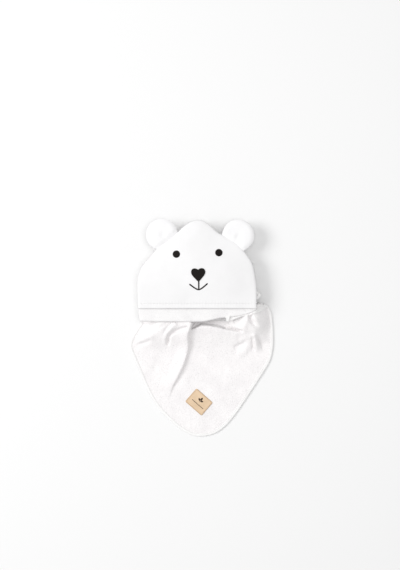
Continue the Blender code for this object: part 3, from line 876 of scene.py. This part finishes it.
RIGHT_FOLDS = [
    # The crest in front of the hollow.
    ([(-16, -8), (1, 0), (40, -5), (90, -16)], 2.2, 6, 10, (0.1, 0.1)),
    # The bunch: its ridges and the grooves between them.
    ([(108, 30), (99, 12), (93, -2), (101, -16)], 5, 9, 11, (0.05, 0.3)),
    ([(111.5, 30), (115.5, 19), (123.5, 8), (135, 2)], -8.5, 5.5, 4.8, (0.05, 0.6)),
    ([(122, 33), (129, 20), (142, 6), (153, -12)], 1.6, 9, 8, (0.3, 0.5)),
    ([(125, -6), (135, -29), (144, -46), (150, -66)], -5, 7.5, 3.6, (0.35, 0.3)),
    ([(118, -10), (125, -35), (133, -60)], 4, 6, 6, (0.2, 0.4)),
    ([(117, -16), (119, -38), (120.5, -68)], -5.2, 4, 3.4, (0.2, 0.35)),
    # The creases that spread out from it, and two faint ones down the apron.
    ([(74, -49), (86, -41), (96, -36), (108, -26)], -4, 4.5, 7),
    ([(83, -66), (98, -56), (112, -56)], 3, 10, 12),
    ([(56, -70), (49, -120), (43.3, -170)], -1.1, 6, 8),
    ([(104, -90), (101, -120), (107, -145)], -1.6, 6, 9),
]
# The line of the crest, behind which the cloth drops into the hollow.
CREST_X = np.array([-0.024, 0.0003, 0.0200, 0.0408, 0.0700, 0.0940, 0.1100])
CREST_Y = np.array([-0.006, 0.0045, 0.0040, 0.0000, -0.0045, -0.0106, -0.0120])
CLOTH_TOP = 0.0028
GATHER_RISE = 0.0262  # how far the gathered cloth stands up where it goes in under the band
HOLLOW_TOP = 0.0042  # the top of the cloth in the hollow
BUNCH_RISE = 0.006
THROAT_DROP = 0.015  # the narrow gap between the hollow and the bunch


def apron_height(spots):
    """The upper side of the cloth at flat places."""
    spots = spots_of(spots)[:, :2]
    x, y = spots.T
    reach = gap_to(spots, edge_spots)
    outward = smooth_step((reach - 0.002) / 0.044)
    back = smooth_step((y + 0.062) / 0.075) * outward
    middle = smooth_step((x + 0.026) / 0.012) * (1 - smooth_step((x - 0.085) / 0.02))
    z = CLOTH_TOP + GATHER_RISE * back * (1 - 0.28 * middle)
    bunch = smooth_step((x - 0.100) / 0.02) * smooth_step((y + 0.010) / 0.04) * smooth_step(reach / 0.022)
    z += BUNCH_RISE * bunch
    for fold in LEFT_FOLDS:
        z += crease(spots, *fold)
    # The hollow behind the crest, and the lump and the bunch to the right of it.
    behind = y - np.interp(x, CREST_X, CREST_Y)
    wide = smooth_step((x + 0.0232 - 0.42 * y) / 0.003) * (1 - smooth_step((x - 0.056) / 0.022))
    z -= (z - HOLLOW_TOP) * wide * smooth_step(behind / 0.0065)
    throat = smooth_step((x - 0.045) / 0.012) * (1 - smooth_step((x - 0.086) / 0.014))
    z -= THROAT_DROP * np.exp(-(((behind - 0.0028) / 0.0024) ** 2)) * throat
    for fold in RIGHT_FOLDS:
        z += crease(spots, *fold)
    # The soft unevenness all over, and the pile.
    loose = smooth_step(reach / 0.02)
    for i, (px, py) in enumerate(spots):
        swell = 0.0016 * (0.45 + back[i]) * rumple((px, py), 0.055, 2.0)
        swell += 0.0007 * rumple((px, py), 0.026, 5.0) + 0.0003 * rumple((px, py), 0.009, 9.0)
        z[i] += loose[i] * swell + 0.00025 * rumple((px, py), 0.0022, 1.0)
    floor = CLOTH_TOP - 0.0003
    return floor + np.logaddexp(0, (z - floor) / 0.0006) * 0.0006


APRON_CELLS = (250, 210)
corner_back = smooth_through(in_metres(BACK_SIDE), LINE_STEPS)
apron_bm = cut_cloth(edge_line[right_turn:left_turn + 1][::-1], edge_line[:right_turn + 1][::-1],
                     [edge_line[-1], *corner_back[1:-1], edge_line[0]], edge_line[left_turn:],
                     *APRON_CELLS)
for v, height in zip(apron_bm.verts, apron_height(v.co for v in apron_bm.verts)):
    v.co.z = height
bmesh.ops.recalc_face_normals(apron_bm, faces=apron_bm.faces[:])
# The second colour is the painted shade in the gaps between the loops.
apron_terry = looped_terry("apron_terry", (0.93, 0.91, 0.91), (0.75, 0.735, 0.737), loop=0.0019)
apron = finish_piece("towel_corner", apron_bm, apron_terry, None)
thicken(apron, 0.0022)
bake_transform(apron)
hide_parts("towel_apron")


# ==== Bindings ====
# Cotton bias tape, folded over the raw edge of the towel and sewn down with one row of stitches
# near its inner side. It puckers a little at the stitches.
TAPE_WIDTH = 0.0068
TAPE_HALF = 0.0017  # half its thickness
TAPE_REST = 0.0025  # how far in from its outer side the tape rests on the cloth
TAPE_SIDES = 14


def bias_tape(line, width=TAPE_WIDTH, seed=0.0):
    """The folded tape along a line in space that is its outer side; it lies to the line's left."""
    bm = bmesh.new()
    bmesh.ops.create_grid(bm, x_segments=len(line) - 1, y_segments=TAPE_SIDES, size=1.0)
    for v in bm.verts:
        i = round((v.co.x + 1) / 2 * (len(line) - 1))
        a = math.pi * (v.co.y + 1)
        run = line[min(i + 1, len(line) - 1)] - line[max(i - 1, 0)]
        inward = Vector((-run.y, run.x, 0)).normalized()
        pucker = 0.10 * math.sin(i * 2.1 + seed) + 0.10 * noise.noise(Vector((i * 0.11, seed, 0)))
        u = math.copysign(abs(math.cos(a)) ** 0.8, math.cos(a)) * width / 2 * (1 + 0.03 * pucker)
        w = math.copysign(abs(math.sin(a)) ** 0.7, math.sin(a)) * TAPE_HALF * (1 + pucker)
        w *= 1 - 0.28 * smooth_step(0.5 - u / width)
        v.co = line[i] + inward * (width / 2 - u) + Vector((0, 0, w))
    bmesh.ops.remove_doubles(bm, verts=bm.verts[:], dist=0.000002)
    bmesh.ops.holes_fill(bm, edges=[e for e in bm.edges if e.is_boundary], sides=TAPE_SIDES)
    bmesh.ops.recalc_face_normals(bm, faces=bm.faces[:])
    return bm


def tape_heights(flat):
    """The tape's middle over a flat outer line: at the cloth, and never under the table."""
    tops = apron_height(moved_in(flat, TAPE_REST))
    return [Vector((p.x, p.y, max(top - 0.0005, TAPE_HALF + 0.0003))) for p, top in zip(flat, tops)]


tape_line = evenly([p for p in outer_line if p.y < 0.0135][::-1], 620)
apron_tape = finish_piece("apron_edge_tape", bias_tape(tape_heights(tape_line)), tape, None)
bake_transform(apron_tape)
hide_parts("apron_binding")

# Up the side of the bunch the same tape climbs with the cloth and goes in under the band.
side_flat = evenly([p for p in outer_line[:right_turn] if p.y > 0.0105][::-1], 110)
side_bm = bias_tape(tape_heights(side_flat), seed=3.0)
# A loop of it peeps out beside the hood, and an end of it runs along under the band. Both lines
# are in millimetres.
LOOP = [(115, 62, 33), (125, 64, 33), (132.5, 69, 32.5), (135.5, 76, 31.5), (132, 82, 32),
        (124, 85, 32.5), (115, 86, 33)]
STRIP = [(60, 15), (76, 20), (92, 26.2), (112, 31.2), (130, 35), (143, 40.5), (152, 46.5)]
loop_line = smooth_through(in_metres(LOOP), 10)
join_into(side_bm, bias_tape(evenly(loop_line, 50), seed=5.0))
strip_flat = evenly(smooth_through(in_metres(STRIP), 12), 90)
laid = smooth_step((np.array([p.x for p in strip_flat]) - 0.114) / 0.02)
strip_line = [Vector((p.x, p.y, 0.0318 * (1 - share) + (top + 0.0014) * share))
              for p, top, share in zip(strip_flat, apron_height(strip_flat), laid)]
join_into(side_bm, bias_tape(strip_line, width=0.0095, seed=8.0))
side_tape = finish_piece("side_edge_tape", side_bm, tape, "towel")
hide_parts("side_binding")

STITCH_INSET = 0.0054
row = [Vector((flat.x, flat.y, tape_middle.z + TAPE_HALF * 0.86))
       for flat, tape_middle in zip(moved_in(tape_line, STITCH_INSET), tape_heights(tape_line))]
tape_row = finish_piece("apron_tape_stitches", sewn_row(row, 0.0033, 0.0008, 0.0006), white_thread, None)
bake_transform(tape_row)
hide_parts("apron_binding")


# ==== Label ====
# A small patch of washable tan kraft leather, sewn flat on the apron close to its edge on all
# four sides. It carries a printed leaf sprig over a plain row of dots.
label_low, label_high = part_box("label_patch")
half_u, half_v = 0.050 / 2, 0.040 / 2
LABEL_CORNER = 0.0028
LABEL_RIM = 0.0007  # the burnished edge
LABEL_THICKNESS = 0.0011
SEW_INSET = 0.0022
LABEL_TURN = math.radians(-41)
label_middle = ((label_low + label_high) / 2).xy
label_turn = Matrix.Rotation(LABEL_TURN, 2)


def on_label(u, v, lift=0.0):
    """A place on the patch, from its middle along its two sides, lifted off the cloth."""
    flat = label_middle + label_turn @ Vector((u, v))
    tops = LABEL_REST + LABEL_LEAN[0] * u + LABEL_LEAN[1] * v + 0.0003 * rumple((u, v), 0.02, 4.0)
    return Vector((flat.x, flat.y, tops + lift))


# The patch lies in the plane that fits the cloth under it best, lifted to clear most of its bumps.
around_u, around_v = half_u - 0.001, half_v - 0.001
around = [(u, v) for u in np.linspace(-around_u, around_u, 9) for v in np.linspace(-around_v, around_v, 9)]
heights = apron_height(label_middle + label_turn @ Vector(p) for p in around)
terms = np.array([[1, u, v] for u, v in around])
plane = np.linalg.lstsq(terms, heights, rcond=None)[0]
LABEL_LEAN = plane[1:]
LABEL_REST = float(plane[0] + 0.6 * np.max(heights - terms @ plane))


def kraft_leather(name, light, dark):
    """Pressed kraft leather: flecks, fine grain and a few soft stains."""
    material, tree, shader, place = start_material(name, 0.72)
    flecks = add_texture(tree, place, "Noise", Scale=900.0, Detail=6.0, Roughness=0.7)
    stains = add_texture(tree, place, "Noise", Scale=70.0, Detail=4.0)
    grain = add_texture(tree, place, "Voronoi", Scale=1500.0)
    colour = ramp(tree, flecks.outputs["Fac"], [(0.32, dark), (0.56, light)])
    cloud = ramp(tree, stains.outputs["Fac"], [(0.3, (0.90, 0.89, 0.87)), (0.7, (1.0, 1.0, 1.0))])
    finish_surface(tree, shader, tinted(tree, colour, cloud),
                   [(stains.outputs["Fac"], 0.3, 0.0006), (grain.outputs["Distance"], 0.4, 0.0002)])
    return material


kraft = kraft_leather("tan_kraft_leather", (0.80, 0.615, 0.430), (0.68, 0.500, 0.330))
kraft_rim = kraft_leather("burnished_rim", (0.60, 0.42, 0.265), (0.48, 0.325, 0.20))
label_bm = bmesh.new()
bmesh.ops.create_grid(label_bm, x_segments=40, y_segments=32, size=1.0)
for v in label_bm.verts:
    u, w = v.co.x * half_u, v.co.y * half_v
    past_u = max(abs(u) - (half_u - LABEL_CORNER), 0)
    past_v = max(abs(w) - (half_v - LABEL_CORNER), 0)
    over = max(math.hypot(past_u, past_v) / LABEL_CORNER, 1.0)
    if past_u > 0 and past_v > 0:
        u = math.copysign(half_u - LABEL_CORNER + past_u / over, u)
        w = math.copysign(half_v - LABEL_CORNER + past_v / over, w)
    v.co = u, w, 0
walls = bmesh.ops.extrude_face_region(label_bm, geom=label_bm.faces[:])["geom"]
raised = {v for v in walls if isinstance(v, bmesh.types.BMVert)}
bmesh.ops.recalc_face_normals(label_bm, faces=label_bm.faces[:])
for v in label_bm.verts:
    u, w = v.co.x, v.co.y
    rim_gap = min(half_u - abs(u), half_v - abs(w))
    pressed = 0.00018 * math.exp(-((rim_gap - SEW_INSET) / 0.0006) ** 2)
    soft_edge = 0.00025 * max(1 - rim_gap / LABEL_RIM, 0)
    v.co = on_label(u, w, LABEL_THICKNESS - pressed - soft_edge if v in raised else -0.0002)
label = finish_piece("kraft_label", label_bm, kraft, "apron")
label.data.materials.append(kraft_rim)
for face in label.data.polygons:
    middle = label_turn.inverted() @ (face.center.xy - label_middle)
    rim_gap = min(half_u - abs(middle.x), half_v - abs(middle.y))
    face.material_index = 1 if rim_gap < LABEL_RIM else 0
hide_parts("label_patch")

tan_thread = sewing_thread("tan_thread", (0.62, 0.45, 0.28), (0.45, 0.31, 0.18))
sew_bm = bmesh.new()
sew_u, sew_v = half_u - SEW_INSET, half_v - SEW_INSET
corners = [(-sew_u, -sew_v), (sew_u, -sew_v), (sew_u, sew_v), (-sew_u, sew_v)]
for (u0, v0), (u1, v1) in zip(corners, corners[1:] + corners[:1]):
    count = round(math.hypot(u1 - u0, v1 - v0) / 0.0029)
    for i in range(count):
        a, b = (i + 0.12) / count, (i + 0.88) / count
        add_stitch(sew_bm, on_label(u0 + (u1 - u0) * a, v0 + (v1 - v0) * a, LABEL_THICKNESS),
                   on_label(u0 + (u1 - u0) * b, v0 + (v1 - v0) * b, LABEL_THICKNESS), 0.0006)
label_sewing = finish_piece("label_sewing", sew_bm, tan_thread, "apron")
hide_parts("label_stitching")


def label_ink(name):
    """Brown screen-printing ink, a little uneven where the leather drinks it."""
    material, tree, shader, place = start_material(name, 0.6)
    patches = add_texture(tree, place, "Noise", Scale=700.0, Detail=4.0)
    colour = ramp(tree, patches.outputs["Fac"], [(0.3, (0.035, 0.022, 0.014)), (0.7, (0.09, 0.055, 0.034))])
    finish_surface(tree, shader, colour, [(patches.outputs["Fac"], 0.3, 0.0001)])
    return material


def flat_mark(bm, outline):
    """A thin raised print with this outline on the label."""
    rim = [bm.verts.new(on_label(u, v, LABEL_THICKNESS - 0.0002)) for u, v in outline]
    print_face = bmesh.ops.contextual_create(bm, geom=rim)["faces"]
    risen = bmesh.ops.extrude_face_region(bm, geom=print_face)["geom"]
    risen = [v for v in risen if isinstance(v, bmesh.types.BMVert)]
    bmesh.ops.translate(bm, verts=risen, vec=(0, 0, 0.00032))


DOT_RADIUS = 0.00115
DOT_PITCH = 0.0031
FIRST_DOT = (-0.0145, -0.0058)
mark_bm = bmesh.new()
for root_u, root_v, lean, size in ((0.0003, 0.0045, 90, 0.0088), (-0.0002, 0.0030, 146, 0.0078),
                                   (0.0010, 0.0030, 34, 0.0078)):
    a = math.radians(lean)
    leaf = []
    for i in range(18):
        t = i / 9 if i <= 9 else (18 - i) / 9
        half = (1 if i <= 9 else -1) * 0.26 * size * math.sin(math.pi * t) ** 0.8 * (1.15 - 0.3 * t)
        leaf.append((root_u + size * t * math.cos(a) - half * math.sin(a),
                     root_v + size * t * math.sin(a) + half * math.cos(a)))
    flat_mark(mark_bm, leaf)
flat_mark(mark_bm, [(0.0001, -0.0005), (0.0007, -0.0005), (0.0006, 0.0045), (0.0002, 0.0045)])
for k in range(11):
    dot = Vector((FIRST_DOT[0] + DOT_PITCH * k, FIRST_DOT[1]))
    turns = [math.tau * i / 12 for i in range(12)]
    flat_mark(mark_bm, [dot + DOT_RADIUS * Vector((math.cos(a), math.sin(a))) for a in turns])
bmesh.ops.recalc_face_normals(mark_bm, faces=mark_bm.faces[:])
mark = finish_piece("label_sprig", mark_bm, label_ink("brown_ink"), "apron")
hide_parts("label_mark")
